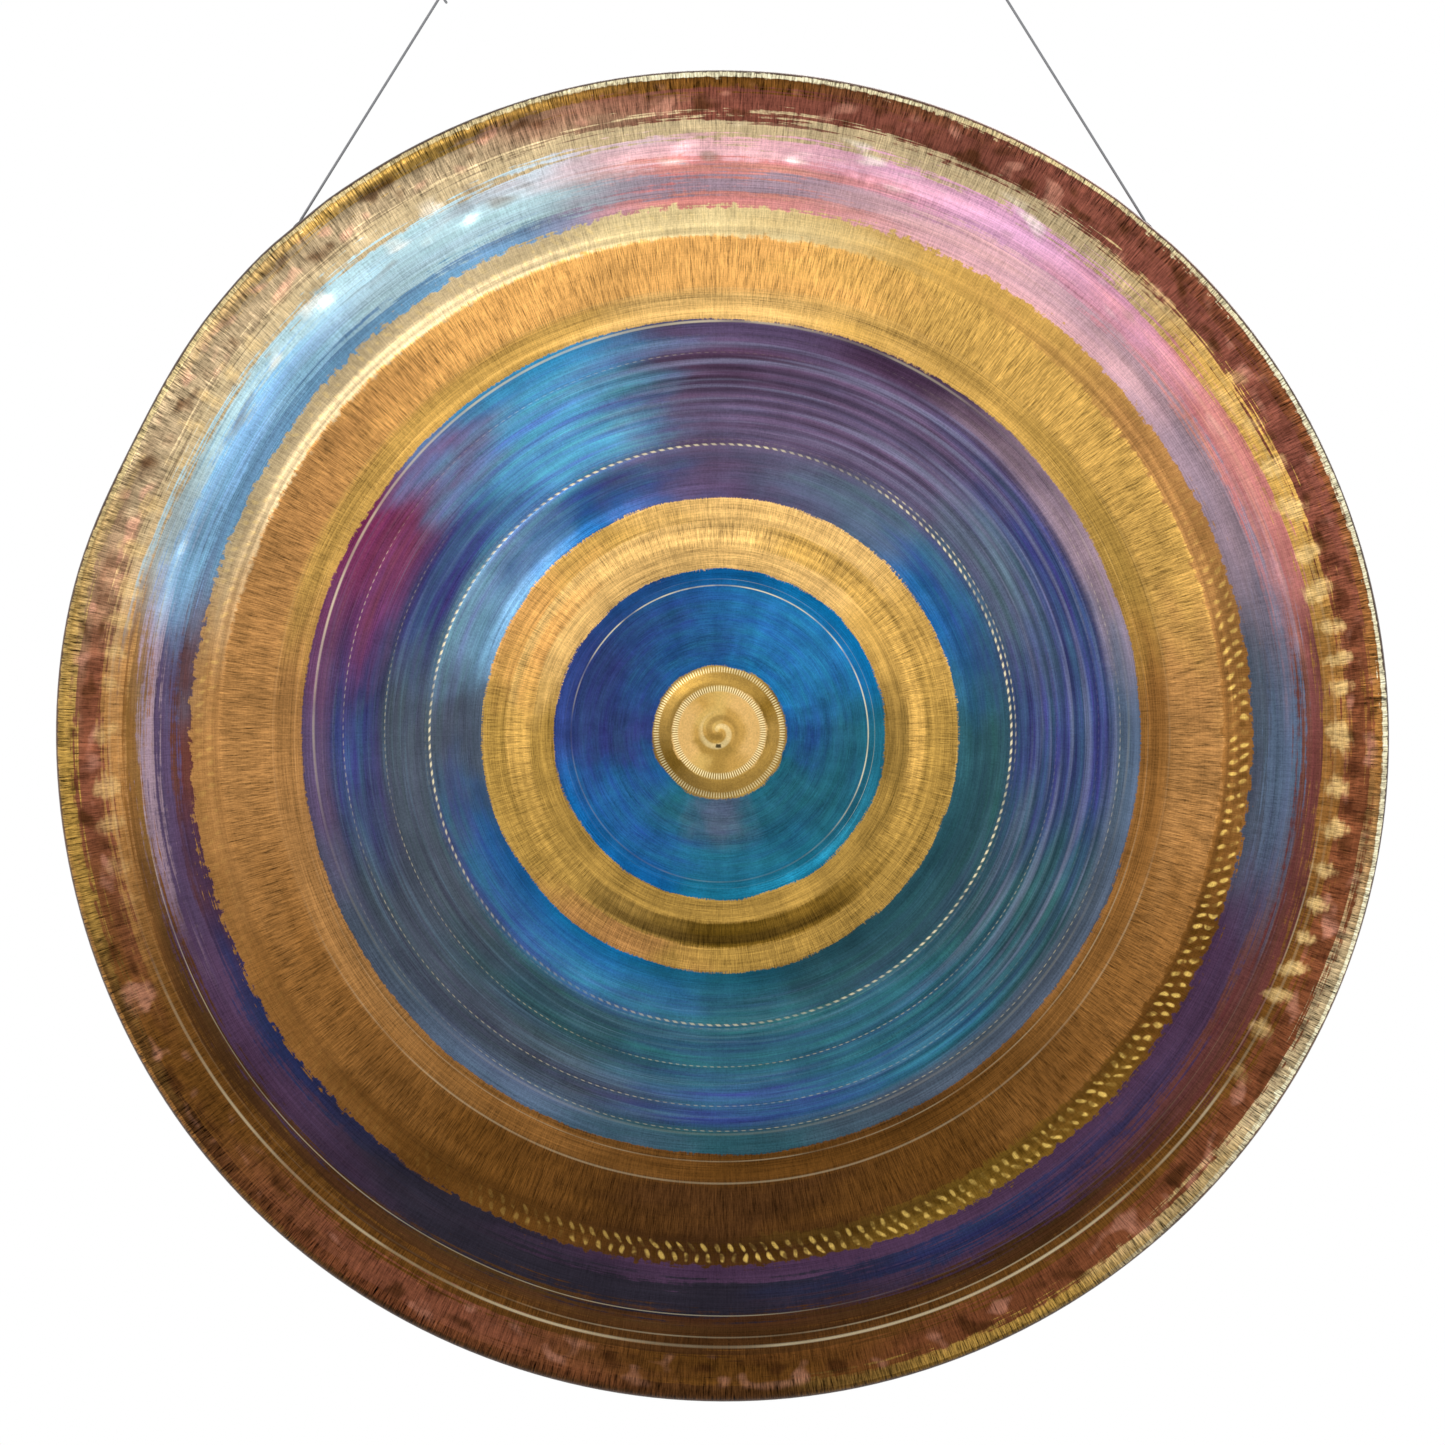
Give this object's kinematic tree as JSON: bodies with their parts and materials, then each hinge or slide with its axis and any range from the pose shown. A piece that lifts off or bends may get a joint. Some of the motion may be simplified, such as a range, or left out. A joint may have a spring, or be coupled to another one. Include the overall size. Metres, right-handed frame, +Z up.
{
  "type": "tam tam gong",
  "caption": "Large shallow hammered bronze gong with turned rings and a flanged rim, hung by two cords through rubber grommets from two beam hooks.",
  "frame": {"origin": "midway between the two hook plates, on the plane of their top faces, where a stand's beam would be", "axes": "+Z up, +Y from the gong's face to its open back, +X to the right seen from the front"},
  "size_m": [0.8088, 0.0903, 0.9039],
  "materials": {
    "gong_bronze": "hammered and lathe-turned bronze with a blue, purple and gold heat patina",
    "grommet_rubber": "matte black",
    "cord_nylon": "grey braided nylon",
    "hook_steel": "zinc-plated steel"
  },
  "bodies": {
    "hooks": {"left_hook": "hook_steel", "right_hook": "hook_steel", "left_hook_plate": "hook_steel", "right_hook_plate": "hook_steel"},
    "cords": {"left_cord": "cord_nylon", "right_cord": "cord_nylon", "left_stopper_knot": "cord_nylon", "right_stopper_knot": "cord_nylon", "left_loop_knot": "cord_nylon", "right_loop_knot": "cord_nylon", "left_eye_loop": "cord_nylon", "right_eye_loop": "cord_nylon"},
    "gong": {"gong_plate": "gong_bronze", "left_grommet": "grommet_rubber", "right_grommet": "grommet_rubber"}
  },
  "joints": [
    {"name": "cord_swing", "type": "hinge", "parent": "hooks", "child": "cords", "pos_m": [0, 0, -0.02064], "axis": [1, 0, 0], "range_deg": [-25, 25]},
    {"name": "gong_tilt", "type": "hinge", "parent": "cords", "child": "gong", "pos_m": [0, 0, -0.18864], "axis": [1, 0, 0], "range_deg": [-20, 20]}
  ]
}
